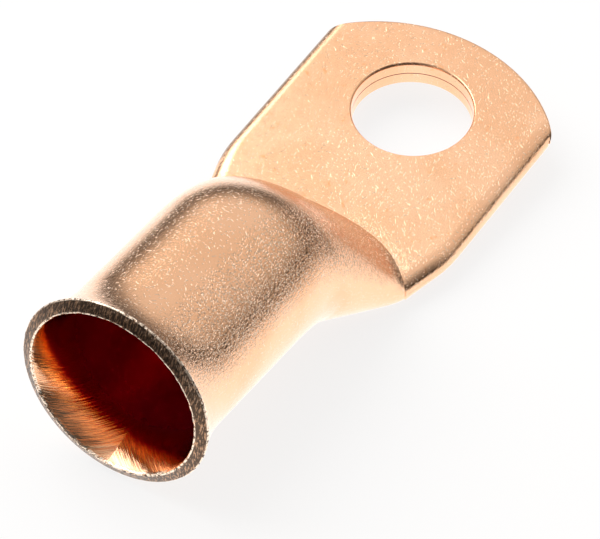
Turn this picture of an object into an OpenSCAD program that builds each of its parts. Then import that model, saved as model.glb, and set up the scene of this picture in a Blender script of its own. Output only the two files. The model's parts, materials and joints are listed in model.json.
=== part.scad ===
// Copper cable lug, made from one length of seamless tube. The cable end is
// belled into a lead-in, the middle stays round to take the cable, and the
// stud end is pressed flat into a palm of two walls, punched and sheared.

/* [Tube] */
// Outside diameter of the tube
tube_d = 15.4; // [12:0.1:20]
// Thickness of the tube's wall
wall = 1.2; // [0.8:0.05:1.8]

/* [Barrel] */
// Length of the round barrel, from the lip of the mouth to the shoulder
barrel_l = 19.6; // [10:0.5:40]
// Angle by which the barrel lifts away from the plane of the palm
kick = 7.3; // [3:0.1:12]

/* [Bell mouth] */
// Outside diameter across the lip of the bell
bell_d = 17.7; // [16.5:0.1:20]
// Angle to which the wall has turned out at the lip
bell_angle = 27; // [15:1:40]

/* [Shoulder] */
// Length of the shoulder's underside, from the barrel to the heel
shoulder_l = 6.2; // [4:0.1:16]
// Distance from the heel to the middle of the palm's pressed edge
heel_l = 7.5; // [5:0.1:12]
// Slope at which the shoulder's crown runs down into the palm
foot_angle = 5; // [0:1:20]
// Distance from the barrel over which the belly is pressed flat
flatten_l = 10.5; // [6:0.5:13]
// Distance past the pressed edge at which the palm has its full width
widen_l = 2.4; // [0.5:0.1:4]

/* [Palm] */
// From the stud hole's centre back to the middle of the pressed edge
palm_back = 13.5; // [9:0.1:24]
// From the stud hole's centre to the crown of the sheared end
palm_front = 9.6; // [7:0.1:14]
// Radius of the pressed edge, where the palm meets the shoulder
press_r = 15.3; // [13:0.1:30]
// Radius of the sheared end
end_r = 15; // [12.5:0.1:30]
// Radius of the two corners of the sheared end
corner_r = 1.2; // [0.4:0.1:2.5]
// Gap left between the two pressed walls
seam_gap = 0.08; // [0.04:0.02:0.2]

/* [Stud hole] */
// Diameter of the hole for the stud
hole_d = 10.5; // [5:0.1:13]

/* [Hidden] */

// Facets round the tube, facets along the shoulder, and facets on true rounds.
ring_n = 64;
rib_n = 20;
press_n = 10;
round_n = 96;
// How far cutters run past what they cut, and how deep the shoulder is seated.
over = 0.02;

tube_r = tube_d / 2;
bore_r = tube_r - wall;
palm_t = 2 * wall;
// A pressed tube keeps its girth, so the palm's width follows from the tube's.
palm_w = PI * (tube_r - wall) + palm_t;

// The wall turns out at the mouth about a ring of this radius, set clear of the
// barrel's outside. The lip is cut square to the wall.
bell_r = (bell_d - tube_d) / 2 / (1 - cos(bell_angle));
bell_l = (bell_r + wall) * sin(bell_angle);

// Seen from the side, the barrel's underside falls along "fall" to the plane
// of the palm, which it meets at the heel. "rise" is square to it.
fall = [cos(kick), -sin(kick)];
rise = [sin(kick), cos(kick)];
heel = [-palm_back - heel_l, 0];
shoulder_low = heel - shoulder_l * fall;
shoulder_top = shoulder_low + tube_d * rise;
mouth = shoulder_low + tube_r * rise - barrel_l * fall;

// The shoulder is drawn between two side curves, one over its crown and one
// under its belly. Past the pressed edge both run on level.
palm_low = [-palm_back, 0];
palm_top = [-palm_back, palm_t];
foot = [cos(foot_angle), -sin(foot_angle)];
crown_pull = 0.2 * norm(palm_top - shoulder_top);
crown = [shoulder_top, shoulder_top + crown_pull * fall, palm_top - crown_pull * foot, palm_top];
belly = [shoulder_low, heel - 0.2 * shoulder_l * fall, heel + [0.2 * heel_l, 0], palm_low];
widen_end = widen_l - palm_back;

// The lug lies on the lip of its bell and on its belly. The whole lug is turned
// until the line between the two lies level.
lip_low = mouth + wall * sin(bell_angle) * fall - bell_d / 2 * rise;
rest_angle = atan(min([for (i = [0 : rib_n]) slope(lip_low, bezier(belly, i / rib_n))]));

function slope(a, b) = (b[1] - a[1]) / (b[0] - a[0]);
function mix(a, b, t) = a * (1 - t) + b * t;
function bezier(p, t) =
    p[0] * pow(1 - t, 3) + 3 * p[1] * t * pow(1 - t, 2) + 3 * p[2] * t * t * (1 - t) + p[3] * pow(t, 3);

// A straight run from 0 to 1 whose two ends are rounded off over a share m.
function run(t, m) =
    t <= 0 ? 0 :
    t < m ? t * t / (2 * m * (1 - m)) :
    t < 1 - m ? (t - m / 2) / (1 - m) :
    t < 1 ? 1 - pow(1 - t, 2) / (2 * m * (1 - m)) : 1;

// Half the tube's width, and the depth of its folded edge below the widest
// line, at x along the lug. Both change evenly from the barrel's end.
round_share = 0.2;
function half_width(x) =
    mix(tube_r, palm_w / 2, run((x - shoulder_low[0]) / (widen_end - shoulder_low[0]), round_share));
function fold_depth(x) = mix(tube_r, wall, run((x - shoulder_low[0]) / flatten_l, round_share));

// One point of the tube's section. The belly is flat between two round folds,
// and the crown an arch of height rise_h: an ellipse at k = 2, leaner below it.
function section(angle, half, deep, rise_h, k) =
    let (side = sign(cos(angle)))
    angle <= 180 ?
        [side * half * pow(abs(cos(angle)), 2 / k), rise_h * pow(sin(angle), 2 / k)] :
        [side * (half - deep) + deep * cos(angle), deep * sin(angle)];

// The shoulder's section at t, drawn "inset" inside its surface. It runs from 0
// at the barrel to 1 at the pressed edge and on to 2 where the palm is widest.
function rib(t, inset) =
    let (
        top = t < 1 ? bezier(crown, t) : [mix(-palm_back, widen_end, t - 1), palm_t],
        low = t < 1 ? bezier(belly, t) : [top[0], 0],
        h = norm(top - low),
        up = (top - low) / h,
        half = half_width(low[0]) - inset,
        deep = min(fold_depth(low[0]), h / 2),
        widest = low + up * deep,
        k = mix(2, crown_k, run((low[0] - shoulder_low[0]) / flatten_l, round_share)),
        least = seam_gap / 2
    )
    [for (i = [0 : ring_n - 1])
        let (p = section(360 * i / ring_n, half, max(deep - inset, least), max(h - deep - inset, least), k))
        [widest[0] + up[0] * p[1], p[0], widest[1] + up[1] * p[1]]];
crown_k = 1.7;

// The palm's section at x: two walls pressed together, folded round at the sides.
function palm_rib(x) =
    [for (i = [0 : ring_n - 1])
        let (angle = 360 * (i + 0.5) / ring_n)
        [
            x,
            sign(cos(angle)) * (half_width(x) - wall) + wall * cos(angle),
            wall + wall * sin(angle) / sin(360 * (ring_n / 4 + 0.5) / ring_n)
        ]];

// A closed skin over a row of rings that have as many points each.
module skin(rings) {
    n = len(rings[0]);
    last = len(rings) - 1;
    polyhedron(
        points = [for (ring = rings) each ring],
        faces = [
            [for (i = [0 : n - 1]) i],
            for (j = [0 : last - 1], i = [0 : n - 1])
                let (k = (i + 1) % n) [j * n + i, (j + 1) * n + i, (j + 1) * n + k, j * n + k],
            [for (i = [n - 1 : -1 : 0]) last * n + i]
        ]
    );
}

module shoulder_skin(inset) {
    skin([rib(-over, inset), for (j = [1 : rib_n]) rib(j / rib_n, inset), rib(1.5, inset), rib(2, inset)]);
}

// The round edge of the press tool.
module press_tool() {
    translate([-palm_back - press_r, 0, -over]) cylinder(r = press_r, h = 3 * tube_d, $fn = round_n);
}

// Places what is turned about the barrel's axis, with its mouth at z = 0.
module along_barrel() {
    translate([mouth[0], 0, mouth[1]]) rotate([0, 90 + kick, 0]) children();
}

// Half section of the barrel filled out to a wall at radius r, whose bell is
// bent with radius bend. It starts at the points in lip and ends at length.
bell_middle = [tube_r + bell_r, bell_l];
module barrel_half(r, bend, lip, length) {
    difference() {
        polygon(concat(lip, [bell_middle, [r, bell_l], [r, length], [0, length]]));
        translate(bell_middle) circle(bend, $fn = 2 * round_n);
    }
}

module barrel_body() {
    lip = bell_middle - (bell_r + wall + over) * [cos(bell_angle), sin(bell_angle)];
    along_barrel() rotate_extrude($fn = round_n)
        barrel_half(tube_r, bell_r, [[0, lip[1]], lip], barrel_l);
}

module barrel_bore() {
    along_barrel() rotate_extrude($fn = round_n)
        barrel_half(bore_r, bell_r + wall, [[0, -over], [bell_middle[0], -over]], barrel_l + over);
}

// What the shears leave of the palm, seen from above: a curved end with
// rounded corners.
module palm_plan() {
    end_x = palm_front - end_r;
    side_y = palm_w / 2 - corner_r + over;
    corner_x = end_x + sqrt(pow(end_r - corner_r, 2) - side_y * side_y);
    turn = atan2(side_y, corner_x - end_x);
    reach = 3 * corner_r;
    difference() {
        translate([-palm_back - press_r, -palm_w]) square([palm_back + press_r + palm_front + 1, 2 * palm_w]);
        difference() {
            translate([end_x, -palm_w]) square([2 * end_r, 2 * palm_w]);
            translate([end_x, 0]) circle(end_r, $fn = 2 * round_n);
        }
        for (side = [-1, 1]) difference() {
            translate([corner_x, side * side_y]) polygon([
                [0, 0],
                reach * [cos(turn), side * sin(turn)],
                reach * [cos(turn / 2 + 45), side * sin(turn / 2 + 45)],
                [0, side * reach]
            ]);
            translate([corner_x, side * side_y]) circle(corner_r, $fn = 48);
        }
    }
}

// The palm is the pressed tube from the press tool's edge to the sheared end.
module palm_body() {
    back = -palm_back - press_r + sqrt(pow(press_r, 2) - pow(palm_w / 2, 2)) - 1;
    difference() {
        intersection() {
            skin([
                for (j = [0 : press_n]) palm_rib(mix(back, widen_end, j / press_n)),
                palm_rib(palm_front + 1)
            ]);
            translate([0, 0, -1]) linear_extrude(palm_t + 2) palm_plan();
        }
        press_tool();
    }
}

// The flat of the press tool clears everything that stands above the palm.
module shoulder_body() {
    difference() {
        shoulder_skin(over);
        difference() {
            translate([-palm_back - press_r, -palm_w, palm_t]) cube([2 * press_r + palm_back, 2 * palm_w, tube_d]);
            press_tool();
        }
    }
}

module seam() {
    translate([widen_end - over, wall - palm_w / 2, wall - seam_gap / 2])
        cube([palm_front - widen_end + 1, palm_w - palm_t, seam_gap]);
}

module stud_hole() {
    translate([0, 0, -1]) cylinder(d = hole_d, h = palm_t + 2, $fn = round_n);
}

module lug() {
    color([0.85, 0.55, 0.36])
    rotate([0, rest_angle, 0])
    difference() {
        union() {
            barrel_body();
            shoulder_body();
            palm_body();
        }
        barrel_bore();
        shoulder_skin(wall + over);
        seam();
        stud_hole();
    }
}

lug();
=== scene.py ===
import bpy, json, math
import numpy as np
from math import sin, cos, pi, radians, sqrt, hypot
from mathutils import Matrix, Vector, noise


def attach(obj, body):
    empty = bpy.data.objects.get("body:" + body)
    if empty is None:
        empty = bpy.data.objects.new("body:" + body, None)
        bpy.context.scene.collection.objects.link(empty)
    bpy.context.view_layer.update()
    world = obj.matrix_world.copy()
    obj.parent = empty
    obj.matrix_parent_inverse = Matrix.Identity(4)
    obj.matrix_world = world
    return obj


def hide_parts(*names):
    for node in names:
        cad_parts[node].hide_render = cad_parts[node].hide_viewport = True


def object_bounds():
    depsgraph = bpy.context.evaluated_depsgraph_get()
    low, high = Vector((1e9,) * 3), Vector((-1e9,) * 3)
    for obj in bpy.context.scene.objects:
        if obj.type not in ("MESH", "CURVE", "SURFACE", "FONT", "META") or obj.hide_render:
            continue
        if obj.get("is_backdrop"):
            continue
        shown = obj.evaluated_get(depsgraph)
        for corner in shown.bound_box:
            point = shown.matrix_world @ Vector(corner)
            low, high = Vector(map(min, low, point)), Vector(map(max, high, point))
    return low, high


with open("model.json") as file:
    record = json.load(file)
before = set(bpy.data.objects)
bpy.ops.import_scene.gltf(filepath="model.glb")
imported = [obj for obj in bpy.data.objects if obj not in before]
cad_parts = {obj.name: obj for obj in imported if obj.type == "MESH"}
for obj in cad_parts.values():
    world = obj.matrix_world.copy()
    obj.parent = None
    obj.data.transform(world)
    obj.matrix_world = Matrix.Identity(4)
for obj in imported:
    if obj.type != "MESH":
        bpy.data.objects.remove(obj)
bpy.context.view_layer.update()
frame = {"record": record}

mm = 0.001
mounts = {mount["name"]: mount for mount in frame["record"]["mounts"]}


def deselectAll():
    if bpy.context.object and bpy.context.object.mode != "OBJECT":
        bpy.ops.object.mode_set(mode="OBJECT")
    bpy.ops.object.select_all(action="DESELECT")


def makeActive(piece):
    deselectAll()
    piece.select_set(True)
    bpy.context.view_layer.objects.active = piece


# the lug lies on its bell and heel, so its palm leans: everything is shaped
# with the palm flat, and turned into place at the end
palmUp = Vector(mounts["stud_hole"]["axis"])
restTurn = Matrix.Rotation(math.atan2(palmUp.x, palmUp.z), 4, "Y")
print("frame loaded, the palm leans", round(math.degrees(math.atan2(palmUp.x, palmUp.z)), 2))

camera = dict(place=(-224.99, -130.02, 288.76), right=(0.5399, -0.8417, 0.0083),
              down=(-0.6406, -0.4173, -0.6446), lens=270.0, sensor=36.0)
cameraData = bpy.data.cameras.new("camera")
cameraObject = bpy.data.objects.new("camera", cameraData)
bpy.context.scene.collection.objects.link(cameraObject)
bpy.context.scene.camera = cameraObject
right = Vector(camera["right"]).normalized()
up = -Vector(camera["down"])
up = (up - up.dot(right) * right).normalized()
axes = Matrix((right, up, right.cross(up))).transposed().to_4x4()
cameraObject.matrix_world = restTurn @ (Matrix.Translation(Vector(camera["place"]) * mm) @ axes)
cameraData.lens, cameraData.sensor_width = camera["lens"], camera["sensor"]
cameraData.clip_start, cameraData.clip_end = 0.01, 20

scene = bpy.context.scene
scene.view_settings.view_transform = "Standard"

# the lug is a length of tube, belled at one end and pressed flat at the other, in millimetres
lug = dict(tubeRadius=7.7, wall=1.2, barrelLength=19.6, kick=7.3, bellDiameter=17.7, bellAngle=27.0,
           shoulderLength=6.2, heelLength=7.5, footAngle=40.0, bendLength=3.3, bendPull=8.0, footPull=3.9,
           flattenLength=10.5, widenLength=2.4,
           palmBack=13.5, palmFront=9.6, pressRadius=15.3, endRadius=15.0, cornerRadius=1.2,
           crownPower=1.7, roundShare=0.2, seamGap=0.08, lipRound=0.14, shearRound=0.28,
           rag=0.13, ragFineness=16.0, columns=256)
wall, tubeRadius = lug["wall"], lug["tubeRadius"]
palmThick = 2 * wall
palmHalf = (pi * (tubeRadius - wall) + palmThick) / 2


def vec(x, z):
    return np.array((x, z), float)


fall = vec(cos(radians(lug["kick"])), -sin(radians(lug["kick"])))
rise = vec(-fall[1], fall[0])
heel = vec(-lug["palmBack"] - lug["heelLength"], 0)
shoulderLow = heel - lug["shoulderLength"] * fall
shoulderTop = shoulderLow + 2 * tubeRadius * rise
mouth = shoulderLow + tubeRadius * rise - lug["barrelLength"] * fall
palmLow, palmTop = vec(-lug["palmBack"], 0), vec(-lug["palmBack"], palmThick)
foot = vec(cos(radians(lug["footAngle"])), -sin(radians(lug["footAngle"])))
bendLow, bendTop = shoulderLow - lug["bendLength"] * fall, shoulderTop - lug["bendLength"] * fall
crown = (bendTop, bendTop + lug["bendPull"] * fall, palmTop - lug["footPull"] * foot, palmTop)
belly = (bendLow, heel - 0.3 * lug["shoulderLength"] * fall,
         heel + vec(0.2 * lug["heelLength"], 0), palmLow)
widenEnd = lug["widenLength"] - lug["palmBack"]
pressMiddle = -lug["palmBack"] - lug["pressRadius"]


def mix(a, b, t):
    return a * (1 - t) + b * t


def bezier(p, t):
    return p[0] * (1 - t) ** 3 + 3 * p[1] * t * (1 - t) ** 2 + 3 * p[2] * t * t * (1 - t) + p[3] * t ** 3


def run(t, m):  # a straight run from 0 to 1 with its ends rounded off
    if t <= 0:
        return 0.0
    if t < m:
        return t * t / (2 * m * (1 - m))
    if t < 1 - m:
        return (t - m / 2) / (1 - m)
    return 1 - (1 - t) ** 2 / (2 * m * (1 - m)) if t < 1 else 1.0


def halfWidth(x):
    share = (x - shoulderLow[0]) / (widenEnd - shoulderLow[0])
    return mix(tubeRadius, palmHalf, run(share, lug["roundShare"]))


def flattened(x):
    return run((x - shoulderLow[0]) / lug["flattenLength"], lug["roundShare"])


def fold(y, half, deep):  # height of a flat strip's round edge at y
    past = min(abs(y) - (half - deep), deep)
    return deep if past <= 0 else sqrt(max(deep * deep - past * past, 0))


def shoulderPoint(t, turn, inset):
    top = bezier(crown, t) if t < 1 else vec(mix(-lug["palmBack"], widenEnd, t - 1), palmThick)
    low = bezier(belly, t) if t < 1 else vec(top[0], 0)
    height = np.linalg.norm(top - low)
    upward = (top - low) / height
    half = halfWidth(low[0]) - inset
    deep = min(mix(tubeRadius, wall, flattened(low[0])), height / 2)
    power = 2 / mix(2, lug["crownPower"], flattened(low[0]))
    least = lug["seamGap"] / 2
    below, above = max(deep - inset, least), max(height - deep - inset, least)
    c, s = cos(turn), sin(turn)
    if s >= 0:
        y, w = math.copysign(half * abs(c) ** power, c), above * s ** power
    else:
        y = half * c
        w = -fold(y, half, below)
    spot = low + upward * (deep + w)
    return np.array((spot[0], y, spot[1]))


def pressShare(turn):  # how far along the shoulder its line meets the press tool's edge
    low, high = 0.0, 2.0
    for step in range(40):
        half = (low + high) / 2
        p = shoulderPoint(half, turn, 0)
        if hypot(p[0] - pressMiddle, p[1]) < lug["pressRadius"]:
            low = half
        else:
            high = half
    return low


def barrelPoint(radius, along, turn):
    spot = mouth + along * fall + radius * sin(turn) * rise
    return np.array((spot[0], radius * cos(turn), spot[1]))


def endPoint(y, shrink):  # the sheared end's outline in plan, drawn shrink inside it
    centre = lug["palmFront"] - lug["endRadius"]
    sideY = palmHalf - lug["cornerRadius"]
    cornerX = centre + sqrt((lug["endRadius"] - lug["cornerRadius"]) ** 2 - sideY ** 2)
    cornerY = sideY * lug["endRadius"] / (lug["endRadius"] - lug["cornerRadius"])
    if abs(y) <= cornerY:
        x = centre + sqrt(lug["endRadius"] ** 2 - y * y)
        share = 1 - shrink / lug["endRadius"]
        return centre + (x - centre) * share, y * share
    past = min(abs(y) - sideY, lug["cornerRadius"])
    x = cornerX + sqrt(max(lug["cornerRadius"] ** 2 - past ** 2, 0))
    share = 1 - shrink / lug["cornerRadius"]
    return cornerX + (x - cornerX) * share, math.copysign(sideY + past * share, y)


def bellRow(bend, tilt):
    middle = tubeRadius + bellRadius
    return middle - bend * cos(tilt), bellLength - bend * sin(tilt)


bellTilt = radians(lug["bellAngle"])
bellRadius = (lug["bellDiameter"] / 2 - tubeRadius) / (1 - cos(bellTilt))
bellLength = (bellRadius + wall) * sin(bellTilt)
turns = [2 * pi * i / lug["columns"] - pi / 2 for i in range(lug["columns"])]
sideColumn = lug["columns"] // 4  # the first column runs under the belly, this one along the side


def roundedLip(bend):  # half of the lip's face and its rounded edge, from the middle out
    reach = lug["lipRound"]
    middle = bellRow(bellRadius + wall / 2, bellTilt)
    corner = np.array(bellRow(bend, bellTilt))
    start = corner + (np.array(middle) - corner) * reach / (wall / 2)
    stop = np.array(bellRow(bend, bellTilt - reach / bend))
    arc = [start * (1 - t) ** 2 + 2 * corner * t * (1 - t) + stop * t * t for t in np.linspace(0, 1, 8)]
    return [np.array(middle)] + arc


straightEnd = lug["barrelLength"] - lug["bendLength"]
rows = []
for profile in (roundedLip(bellRadius) +
                [bellRow(bellRadius, t)
                 for t in np.linspace(bellTilt - lug["lipRound"] / bellRadius, 0, 22)[1:]] +
                [(tubeRadius, d) for d in np.linspace(bellLength, straightEnd, 8)[1:-1]]):
    rows.append([barrelPoint(profile[0], profile[1], turn) for turn in turns])
meets = [pressShare(turn) for turn in turns]
for t in np.linspace(0, 1, 49):
    rows.append([shoulderPoint(t * meet, turn, 0) for turn, meet in zip(turns, meets)])
pressRow = rows[-1]
pressSide = pressRow[sideColumn]
pressHalf = pressSide[1]

def palmSpot(column, share, shrink=0.0, squeeze=0.0):
    start = pressRow[column]
    sideX = mix(pressSide[0], endPoint(palmHalf, 0)[0], share)
    half = halfWidth(sideX)
    y = start[1] * half / pressHalf
    endX, endY = endPoint(y, shrink)
    x = mix(pressMiddle + sqrt(lug["pressRadius"] ** 2 - start[1] ** 2), endX, share)
    level = fold(y, half, wall) * (1 - squeeze / wall)
    if sin(turns[column]) < 0:
        settle = max(0.0, 1 - share * 6)
        low = mix(wall - level, start[2], settle ** 2 * (3 - 2 * settle))
        return np.array((x, mix(y, endY, share), low))
    return np.array((x, mix(y, endY, share), wall + level))


palmShares = [mix(0.5 - 0.5 * cos(pi * t), t, 0.5) for t in np.linspace(0, 1, 40)]
lastShare = 1 - lug["shearRound"] / (lug["palmFront"] + lug["palmBack"])
for share in palmShares:
    rows.append([palmSpot(i, share * lastShare) for i in range(lug["columns"])])
for a in np.linspace(0, pi / 2, 8)[1:]:
    rows.append([palmSpot(i, 1, lug["shearRound"] * (1 - sin(a)), lug["shearRound"] * (1 - cos(a)))
                 for i in range(lug["columns"])])


def slotSpot(column, share):
    outer = palmSpot(column, share)
    narrower = (palmHalf - wall) / palmHalf
    lift = max(-1.0, min(1.0, sin(turns[column]) * 8)) * lug["seamGap"] / 2
    x = mix(pressRow[column][0], endPoint(outer[1] * narrower, 0)[0], share)
    return np.array((x, outer[1] * narrower, wall + lift))


for share in (1, 0.9, 0.8, 0.65, 0.5, 0.35):
    rows.append([slotSpot(i, share) for i in range(lug["columns"])])
for t in np.linspace(1.7, 0, 40):
    rows.append([shoulderPoint(t, turn, wall) for turn in turns])
for profile in ([(tubeRadius - wall, d) for d in np.linspace(straightEnd, bellLength, 8)[1:]] +
                [bellRow(bellRadius + wall, t)
                 for t in np.linspace(0, bellTilt - lug["lipRound"] / (bellRadius + wall), 24)[1:]] +
                roundedLip(bellRadius + wall)[::-1][1:]):
    rows.append([barrelPoint(profile[0], profile[1], turn) for turn in turns])

lipRows = 9  # the saw left the lip's edges ragged
for index in list(range(2, lipRows)) + list(range(len(rows) - lipRows, len(rows) - 2)):
    for i, spot in enumerate(rows[index]):
        rag = noise.noise(Vector((cos(turns[i]), sin(turns[i]), index * 0.01)) * lug["ragFineness"])
        rows[index][i] = spot + np.array((fall[0], 0, fall[1])) * lug["rag"] * max(0.0, rag)

lengths = [0.0]  # how far along the tube's wall each row lies, over the palm's end and back inside
for row, nextRow in zip(rows, rows[1:]):
    lengths.append(lengths[-1] + float(np.linalg.norm(nextRow[2 * sideColumn] - row[2 * sideColumn])))

deselectAll()
bpy.ops.mesh.primitive_grid_add(x_subdivisions=lug["columns"], y_subdivisions=len(rows) - 1, size=0.05)
copperLug = bpy.context.object
copperLug.name = copperLug.data.name = "copperLug"
sheet = np.array([row + row[:1] for row in rows])
copperLug.data.vertices.foreach_set("co", (sheet * mm).reshape(-1).astype(np.float32))
copperLug.data.update()
around = np.concatenate([np.zeros((len(rows), 1)),
                         np.cumsum(np.linalg.norm(np.diff(sheet, axis=1), axis=2), axis=1)], axis=1)
around -= around[:, -1:] / 2
wrap = copperLug.data.uv_layers.active
wrap.name = "wrap"
for loop, spot in zip(copperLug.data.loops, wrap.data):
    row, column = divmod(loop.vertex_index, lug["columns"] + 1)
    spot.uv = (around[row, column], lengths[row])
bpy.ops.object.mode_set(mode="EDIT")
bpy.ops.mesh.select_all(action="SELECT")
bpy.ops.mesh.remove_doubles(threshold=0.000002)
bpy.ops.mesh.normals_make_consistent(inside=False)
bpy.ops.object.mode_set(mode="OBJECT")
print("tube rolled and pressed,", len(copperLug.data.polygons), "faces")

# the stud hole is punched from above: its top edge is drawn down, its bottom edge left sharp
hole = dict(radius=mounts["stud_hole"]["dims"]["r_mm"], drawn=0.32, drawnTo=64.0, steps=12, around=160)


def holeProfile():
    top = palmThick - hole["drawn"] * sin(radians(hole["drawnTo"]))
    points = [(0, -2), (hole["radius"] + 0.06, -2), (hole["radius"] + 0.06, 0), (hole["radius"], 0.1)]
    for a in np.linspace(0, radians(hole["drawnTo"]), hole["steps"]):
        points.append((hole["radius"] + hole["drawn"] * (1 - cos(a)), top + hole["drawn"] * sin(a)))
    slant = points[-1][0] + 1.0 / math.tan(radians(90 - hole["drawnTo"]))
    return points + [(slant, palmThick + 1), (0, palmThick + 1)]


deselectAll()
bpy.ops.mesh.primitive_plane_add(size=0.001)
punch = bpy.context.object
punch.name = "punch"
bpy.ops.object.mode_set(mode="EDIT")
bpy.ops.mesh.delete(type="VERT")
bpy.ops.object.mode_set(mode="OBJECT")
profile = [(r * mm, 0, z * mm) for r, z in holeProfile()]
punch.data.from_pydata(profile, [(i, i + 1) for i in range(len(profile) - 1)], [])
bpy.ops.object.mode_set(mode="EDIT")
bpy.ops.mesh.select_all(action="SELECT")
bpy.ops.mesh.spin(steps=hole["around"], angle=2 * pi, center=(0, 0, 0), axis=(0, 0, 1))
bpy.ops.mesh.select_all(action="SELECT")
bpy.ops.mesh.remove_doubles(threshold=0.000001)
bpy.ops.mesh.normals_make_consistent(inside=False)
bpy.ops.object.mode_set(mode="OBJECT")
punchWrap = punch.data.uv_layers.new(name="wrap")
for loop, spot in zip(punch.data.loops, punchWrap.data):
    x, y, z = (value / mm for value in punch.data.vertices[loop.vertex_index].co)
    spot.uv = (math.atan2(y, x) * hole["radius"], lengths[len(lengths) // 3] + z + hypot(x, y))
makeActive(copperLug)
cut = copperLug.modifiers.new("studHole", "BOOLEAN")
cut.operation, cut.solver, cut.object = "DIFFERENCE", "EXACT", punch
bpy.ops.object.modifier_apply(modifier=cut.name)
bpy.data.objects.remove(punch)
copperLug.data.transform(restTurn)
makeActive(copperLug)
bpy.ops.object.shade_smooth_by_angle(angle=radians(19))
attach(copperLug, "root")
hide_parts("lug")
print("stud hole punched,", len(copperLug.data.polygons), "faces")


class Nodes:  # short ways to add and join shader nodes
    def __init__(self, name):
        self.material = bpy.data.materials.new(name)
        self.material.use_nodes = True
        self.tree = self.material.node_tree
        self.shader = self.tree.nodes["Principled BSDF"]
        self.output = self.tree.nodes["Material Output"]

    def add(self, kind, **settings):
        node = self.tree.nodes.new("ShaderNode" + kind)
        for name, value in settings.items():
            setattr(node, name, value)
        return node

    def feed(self, socket, value):
        if isinstance(value, bpy.types.NodeSocket):
            self.tree.links.new(value, socket)
        else:
            socket.default_value = value

    def math(self, operation, a, b=0.0, c=0.0, clamp=False):
        node = self.add("Math", operation=operation, use_clamp=clamp)
        for socket, value in zip(node.inputs, (a, b, c)):
            self.feed(socket, value)
        return node.outputs[0]

    def vector(self, operation, a, b=(0, 0, 0), scale=None):
        node = self.add("VectorMath", operation=operation)
        self.feed(node.inputs[0], a)
        self.feed(node.inputs[1], b)
        if scale is not None:
            self.feed(node.inputs["Scale"], scale)
        return node.outputs["Value" if operation in ("LENGTH", "DISTANCE", "DOT_PRODUCT") else "Vector"]

    def step(self, value, low, high):  # 0 below low, 1 above high, smooth between
        node = self.add("MapRange", interpolation_type="SMOOTHSTEP")
        for name, number in (("Value", value), ("From Min", low), ("From Max", high)):
            self.feed(node.inputs[name], number)
        return node.outputs["Result"]

    def noise(self, place, scale, detail=2.0, rough=0.5, dimensions="3D", warp=0.0):
        node = self.add("TexNoise", noise_dimensions=dimensions)
        for name, value in (("Vector", place), ("Scale", scale), ("Detail", detail),
                            ("Roughness", rough), ("Distortion", warp)):
            self.feed(node.inputs[name], value)
        return node.outputs["Fac"]

    def blend(self, share, a, b, mode="MIX"):
        node = self.add("Mix", data_type="RGBA", blend_type=mode)
        self.feed(node.inputs["Factor"], share)
        self.feed(node.inputs[6], a)
        self.feed(node.inputs[7], b)
        return node.outputs[2]

    def bump(self, height, distance, strength=1.0, normal=None):
        node = self.add("Bump")
        self.feed(node.inputs["Height"], height)
        self.feed(node.inputs["Distance"], distance)
        self.feed(node.inputs["Strength"], strength)
        if normal is not None:
            self.feed(node.inputs["Normal"], normal)
        return node.outputs[0]

    def ticks(self, place, cell, length, width, share, curve=0.6, shift=0.0):  # short hair scratches
        spread = self.vector("SCALE", self.vector("ADD", place, (shift, shift * 1.7, 0)), scale=1 / cell)
        cells = self.add("TexVoronoi", voronoi_dimensions="2D", feature="F1")
        self.feed(cells.inputs["Vector"], spread)
        self.feed(cells.inputs["Scale"], 1.0)
        chance = self.add("TexWhiteNoise", noise_dimensions="2D")
        self.feed(chance.inputs["Vector"], cells.outputs["Position"])
        turned = self.add("VectorRotate", rotation_type="Z_AXIS")
        self.feed(turned.inputs["Vector"], self.vector("SUBTRACT", spread, cells.outputs["Position"]))
        self.feed(turned.inputs["Angle"], self.math("MULTIPLY", chance.outputs["Value"], 2 * pi))
        apart = self.add("SeparateXYZ")
        self.feed(apart.inputs[0], turned.outputs[0])
        along, across = apart.outputs[0], apart.outputs[1]
        bent = self.math("ADD", across, self.math("MULTIPLY", self.math("MULTIPLY", along, along), curve))
        beyond = self.step(self.math("ABSOLUTE", bent), width / cell * 0.3, width / cell)
        line = self.math("SUBTRACT", 1.0, beyond)
        past = self.step(self.math("ABSOLUTE", along), length / cell * 0.5, length / cell)
        ends = self.math("SUBTRACT", 1.0, past)
        parts = self.add("SeparateColor")
        self.feed(parts.inputs[0], chance.outputs["Color"])
        there = self.math("LESS_THAN", parts.outputs[1], share)
        return self.math("MULTIPLY", self.math("MULTIPLY", line, ends), there)


copper = dict(bright=(0.9, 0.54, 0.34, 1), tan=(0.85, 0.485, 0.285, 1), blotch=(0.88, 0.4, 0.17, 1),
              # the scratch colour is paler than copper itself: real scratches carrying painted glints
              scratchAndGlint=(1.0, 0.82, 0.66, 1), bore=(0.96, 0.02, 0.13, 1), bend=(1.0, 0.5, 0.12, 1),
              # the sawn colour is near black, darker than sawn copper itself: painted shade
              sawnAndPaintedShade=(0.1, 0.065, 0.045, 1), roughness=0.14)
# where one finish or painted light passes into the next, in millimetres back from the lip, along the wall
finishAt = dict(bore=(4.3, 5.4), bendInner=(5.6, 4.4), bendOuter=(3.0, 3.7), bell=(7.0, 5.0),
                sawnAndPaintedShade=(0.72, 0.6), raggedHighlightInner=(0.42, 0.5), raggedHighlightOuter=(0.86, 0.72))
metal = Nodes("brightCopper")
texture = metal.add("TexCoord")
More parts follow.
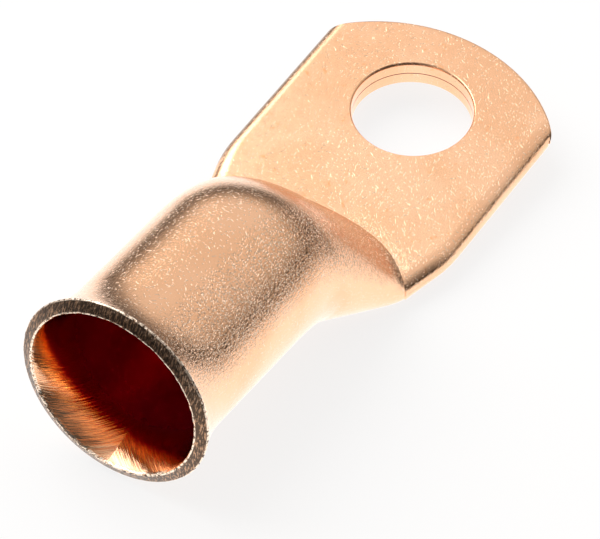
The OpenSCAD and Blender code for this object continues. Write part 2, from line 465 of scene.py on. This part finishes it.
# places on the lug, turned back to the flat palm, in millimetres
level = metal.add("Mapping", vector_type="POINT")
metal.feed(level.inputs["Vector"], texture.outputs["Object"])
metal.feed(level.inputs["Rotation"], (0, -restTurn.to_euler().y, 0))
metal.feed(level.inputs["Scale"], (1000, 1000, 1000))
place = level.outputs[0]
sides = metal.add("SeparateXYZ")
metal.feed(sides.inputs[0], place)
wrapMap = metal.add("UVMap", uv_map="wrap")
unrolled = wrapMap.outputs[0]
unrolledParts = metal.add("SeparateXYZ")
metal.feed(unrolledParts.inputs[0], unrolled)
alongWall = unrolledParts.outputs[1]
innerLip, palmEnd = lengths[-1], lengths[-1] / 2


def fromLip(start, stop):
    return metal.step(alongWall, innerLip - start, innerLip - stop)


nearFold = metal.step(metal.math("ABSOLUTE", sides.outputs[1]), palmHalf - 1.1, palmHalf - 0.5)
flatPalm = metal.math("MULTIPLY", metal.step(sides.outputs[0], -18.5, -13.0),
                         metal.math("SUBTRACT", 1.0, nearFold))
back = metal.math("GREATER_THAN", alongWall, palmEnd + 4)
inside = metal.math("MULTIPLY", back, fromLip(*finishAt["bore"]))
bell = fromLip(*finishAt["bell"])
sawnAndPaintedShade = metal.math("ADD", metal.step(alongWall, *finishAt["sawnAndPaintedShade"]), fromLip(*finishAt["sawnAndPaintedShade"]), clamp=True)

grainPlace = metal.vector("MULTIPLY", unrolled, (5.5, 2.6, 0))
grain = metal.noise(grainPlace, 1.0, 3.0, 0.6, "2D", 0.6)
fineTicks = metal.ticks(unrolled, 0.34, 0.11, 0.034, 0.5)
longTicks = metal.ticks(unrolled, 0.9, 0.27, 0.036, 0.4, shift=3.1)
hairs = metal.math("MAXIMUM", fineTicks, longTicks)
hairs = metal.math("MULTIPLY", hairs, metal.math("SUBTRACT", 1.0, bell))
aroundWall = unrolledParts.outputs[0]  # the barrel's near side is rubbed the most, and painted glints sit on its scratches there
rubbedSideAndGlints = metal.math("MULTIPLY", metal.step(aroundWall, 1.5, 4.0), metal.step(aroundWall, 11.0, 8.0))
rubbedSideAndGlints = metal.math("MULTIPLY", rubbedSideAndGlints, metal.step(alongWall, palmEnd - 22.0, palmEnd - 25.0))
sparkle = metal.math("MAXIMUM", metal.ticks(unrolled, 0.3, 0.15, 0.032, 0.85, shift=5.3, curve=0.9),
                 metal.ticks(unrolled, 0.36, 0.17, 0.03, 0.85, shift=7.9, curve=-0.8))
sparkle = metal.math("MULTIPLY", sparkle, rubbedSideAndGlints)
raggedNoise = metal.noise(metal.vector("MULTIPLY", place, (3.0, 3.0, 3.0)), 1.0, 3.0, 0.7)
lipDistance = metal.math("MINIMUM", alongWall, metal.math("SUBTRACT", lengths[-1], alongWall))
ragged = metal.math("MULTIPLY", metal.step(lipDistance, *finishAt["raggedHighlightInner"]),
                     metal.step(lipDistance, *finishAt["raggedHighlightOuter"]))
streaks = metal.noise(metal.vector("MULTIPLY", unrolled, (7.0, 0.12, 0)), 1.0, 3.0, 0.6, "2D")
sawMarks = metal.noise(metal.vector("MULTIPLY", place, (2.0, 9.0, 2.0)), 1.0, 2.0, 0.6)

tone = metal.noise(place, 0.16, 2.0)
base = metal.blend(metal.step(tone, 0.35, 0.65), copper["bright"], copper["tan"])
blotches = metal.step(metal.noise(place, 0.85, 3.0, 0.65), 0.6, 0.72)
blotched = metal.math("MULTIPLY", blotches, metal.math("MULTIPLY", flatPalm, 0.6))
base = metal.blend(blotched, base, copper["blotch"])
# hair scratches take the pale scratch colour: real scratches with a painted glint
scratchedAndGlinting = metal.math("MULTIPLY", hairs, metal.math("MULTIPLY_ADD", flatPalm, -0.25, 0.7))
base = metal.blend(scratchedAndGlinting, base, copper["scratchAndGlint"])
# painted glints: sparkle ticks on the barrel's near side take the pale scratch colour
base = metal.blend(metal.math("MULTIPLY", sparkle, 0.8), base, copper["scratchAndGlint"])
# painted shade: a dark strip along the palm's far fold
farFoldPaintedShade = metal.math("MULTIPLY", metal.step(sides.outputs[1], palmHalf - 0.75, palmHalf - 0.35),
                     metal.step(sides.outputs[0], -17.5, -16.0))
base = metal.blend(metal.math("MULTIPLY", farFoldPaintedShade, 0.75), base, copper["sawnAndPaintedShade"])
# painted shade: the sawn lip face takes the near-black sawn colour, with its saw marks left lighter
sawBright = metal.math("MULTIPLY", metal.step(sawMarks, 0.5, 0.62), 0.5)
paintedSawnShade = metal.math("MULTIPLY", sawnAndPaintedShade, metal.math("SUBTRACT", 1.0, sawBright))
base = metal.blend(paintedSawnShade, base, copper["sawnAndPaintedShade"])
# painted highlight along the lip's ragged edges
raggedEdgeHighlight = metal.math("MULTIPLY", ragged, metal.step(raggedNoise, 0.42, 0.5))
base = metal.blend(raggedEdgeHighlight, base, copper["scratchAndGlint"])
bend = metal.math("MULTIPLY", fromLip(*finishAt["bendInner"]), fromLip(*finishAt["bendOuter"]))
base = metal.blend(metal.math("MULTIPLY", bend, 0.85), base, copper["bend"])
# the bore's deep red is partly copper's own colour, partly painted light: it stands in for light bouncing
# deep inside the bore
base = metal.blend(inside, base, copper["bore"])
metal.feed(metal.shader.inputs["Base Color"], base)
metal.feed(metal.shader.inputs["Metallic"], 1.0)
roughness = metal.math("MULTIPLY_ADD", metal.noise(place, 1.3, 3.0), 0.12, copper["roughness"] - 0.06)
roughness = metal.math("MULTIPLY_ADD", flatPalm, 0.1, roughness)
roughness = metal.math("MULTIPLY_ADD", inside, 0.2, roughness)
roughness = metal.math("MULTIPLY_ADD", sawnAndPaintedShade, 0.2, roughness)
roughness = metal.math("MULTIPLY_ADD", bell, -0.07, roughness)
metal.feed(metal.shader.inputs["Roughness"], roughness)

grainDepth = metal.math("MULTIPLY_ADD", flatPalm, -0.8, 1.0)
hidden = metal.step(alongWall, palmEnd - 3, palmEnd)
grainDepth = metal.math("MULTIPLY", grainDepth, metal.math("SUBTRACT", 1.0, hidden))
grainDepth = metal.math("MULTIPLY_ADD", rubbedSideAndGlints, 0.9, grainDepth)
normal = metal.bump(grain, 0.00002, grainDepth)
normal = metal.bump(metal.math("MULTIPLY", hairs, -1.0), 0.00002, 0.7, normal)
normal = metal.bump(metal.math("MULTIPLY", sparkle, -1.0), 0.00003, 1.0, normal)
normal = metal.bump(streaks, 0.00003, metal.math("MULTIPLY", bell, 0.8), normal)
normal = metal.bump(sawMarks, 0.00006, sawnAndPaintedShade, normal)
metal.feed(metal.shader.inputs["Normal"], normal)
copperLug.data.materials.clear()
copperLug.data.materials.append(metal.material)
print("copper mixed")

floorLevel = min(corner.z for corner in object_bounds())
studio = dict(floorSize=4.0, paper=(0.93, 0.915, 0.91, 1), glow=0.82, nearBright=1.4, farBright=0.12,
              brightTo=0.034, darkFrom=0.1, key=(0.07, 0.85, 0.85), keySize=1.25, keyPower=13.0)
deselectAll()
bpy.ops.mesh.primitive_plane_add(size=studio["floorSize"], location=(0, 0, floorLevel))
floor = bpy.context.object
floor.name = "floor"
paper = Nodes("palePaper")
paper.feed(paper.shader.inputs["Base Color"], studio["paper"])
paper.feed(paper.shader.inputs["Roughness"], 0.95)
paper.feed(paper.shader.inputs["Specular IOR Level"], 0.1)
rays = paper.add("LightPath")
white = paper.add("Emission")
seen = paper.add("MixShader")
paper.feed(seen.inputs[0], paper.math("MULTIPLY", rays.outputs["Is Camera Ray"], studio["glow"]))
paper.feed(seen.inputs[1], paper.shader.outputs[0])
paper.feed(seen.inputs[2], white.outputs[0])
floorPlace = paper.add("TexCoord")
# painted reflection: for reflected rays the floor glows, bright near the lug and dark further out
away = paper.vector("LENGTH", paper.vector("SUBTRACT", floorPlace.outputs["Object"], (-0.02, 0, 0)))
mirrored = paper.add("Emission")
paper.feed(mirrored.inputs["Color"], (1.0, 0.985, 0.97, 1))
shade = paper.add("MapRange", interpolation_type="SMOOTHSTEP")
for name, value in (("Value", away), ("From Min", studio["brightTo"]), ("From Max", studio["darkFrom"]),
                    ("To Min", studio["nearBright"]), ("To Max", studio["farBright"])):
    paper.feed(shade.inputs[name], value)
paper.feed(mirrored.inputs["Strength"], shade.outputs["Result"])
glossed = paper.add("MixShader")
paper.feed(glossed.inputs[0], rays.outputs["Is Glossy Ray"])
paper.feed(glossed.inputs[1], seen.outputs[0])
paper.feed(glossed.inputs[2], mirrored.outputs[0])
paper.feed(paper.output.inputs["Surface"], glossed.outputs[0])
floor.data.materials.append(paper.material)
floor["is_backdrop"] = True

world = bpy.data.worlds.new("studio")
scene.world = world
world.use_nodes = True
sky = world.node_tree
background = sky.nodes["Background"]
direction = sky.nodes.new("ShaderNodeTexCoord")
height = sky.nodes.new("ShaderNodeSeparateXYZ")
sky.links.new(direction.outputs["Generated"], height.inputs[0])


def skyRamp(source, stops):
    ramp = sky.nodes.new("ShaderNodeValToRGB")
    ramp.color_ramp.interpolation = "EASE"
    ramp.color_ramp.elements.remove(ramp.color_ramp.elements[0])
    for i, (at, bright) in enumerate(stops):
        element = ramp.color_ramp.elements[0] if i == 0 else ramp.color_ramp.elements.new(at)
        element.position = at
        element.color = (bright, bright * 0.985, bright * 0.965, 1)
    sky.links.new(source, ramp.inputs[0])
    return ramp.outputs[0]


def skyMath(operation, a, b):
    node = sky.nodes.new("ShaderNodeMath")
    node.operation = operation
    for socket, value in zip(node.inputs, (a, b)):
        if isinstance(value, bpy.types.NodeSocket):
            sky.links.new(value, socket)
        else:
            socket.default_value = value
    return node.outputs[0]


# dark low down, and dark on the side where the room is; brightest behind and to the left
bearing = skyMath("ARCTAN2", height.outputs["Y"], height.outputs["X"])
compass = skyMath("ADD", skyMath("DIVIDE", bearing, 2 * pi), 0.5)
aroundStops = ((0.0, 0.35), (0.06, 0.12), (0.16, 0.1), (0.27, 0.14), (0.35, 0.8), (0.42, 1.0), (0.56, 0.75),
               (0.66, 0.85), (0.74, 1.1), (0.82, 1.1), (1.0, 0.35))
forwardStops = ((0.0, 0.0), (0.46, 0.0), (0.54, 0.2), (0.68, 0.2), (0.76, 0.0), (1.0, 0.0))
heightStops = ((0.0, 0.06), (0.14, 0.08), (0.22, 0.5), (0.32, 0.95), (1.0, 1.0))
both = sky.nodes.new("ShaderNodeMix")
both.data_type, both.blend_type = "RGBA", "MULTIPLY"
both.inputs["Factor"].default_value = 1.0
sky.links.new(skyRamp(compass, aroundStops), both.inputs[6])
sky.links.new(skyRamp(height.outputs["Z"], heightStops), both.inputs[7])
glowing = sky.nodes.new("ShaderNodeMix")
glowing.data_type, glowing.blend_type = "RGBA", "ADD"
glowing.inputs["Factor"].default_value = 1.0
sky.links.new(both.outputs[2], glowing.inputs[6])
sky.links.new(skyRamp(compass, forwardStops), glowing.inputs[7])
sky.links.new(glowing.outputs[2], background.inputs["Color"])
background.inputs["Strength"].default_value = 1.0

keyData = bpy.data.lights.new("key", "AREA")
keyData.shape, keyData.size, keyData.energy = "DISK", studio["keySize"], studio["keyPower"]
key = bpy.data.objects.new("key", keyData)
scene.collection.objects.link(key)
key.location = studio["key"]
key.rotation_euler = Vector(studio["key"]).to_track_quat("Z", "Y").to_euler()
print("studio lit")
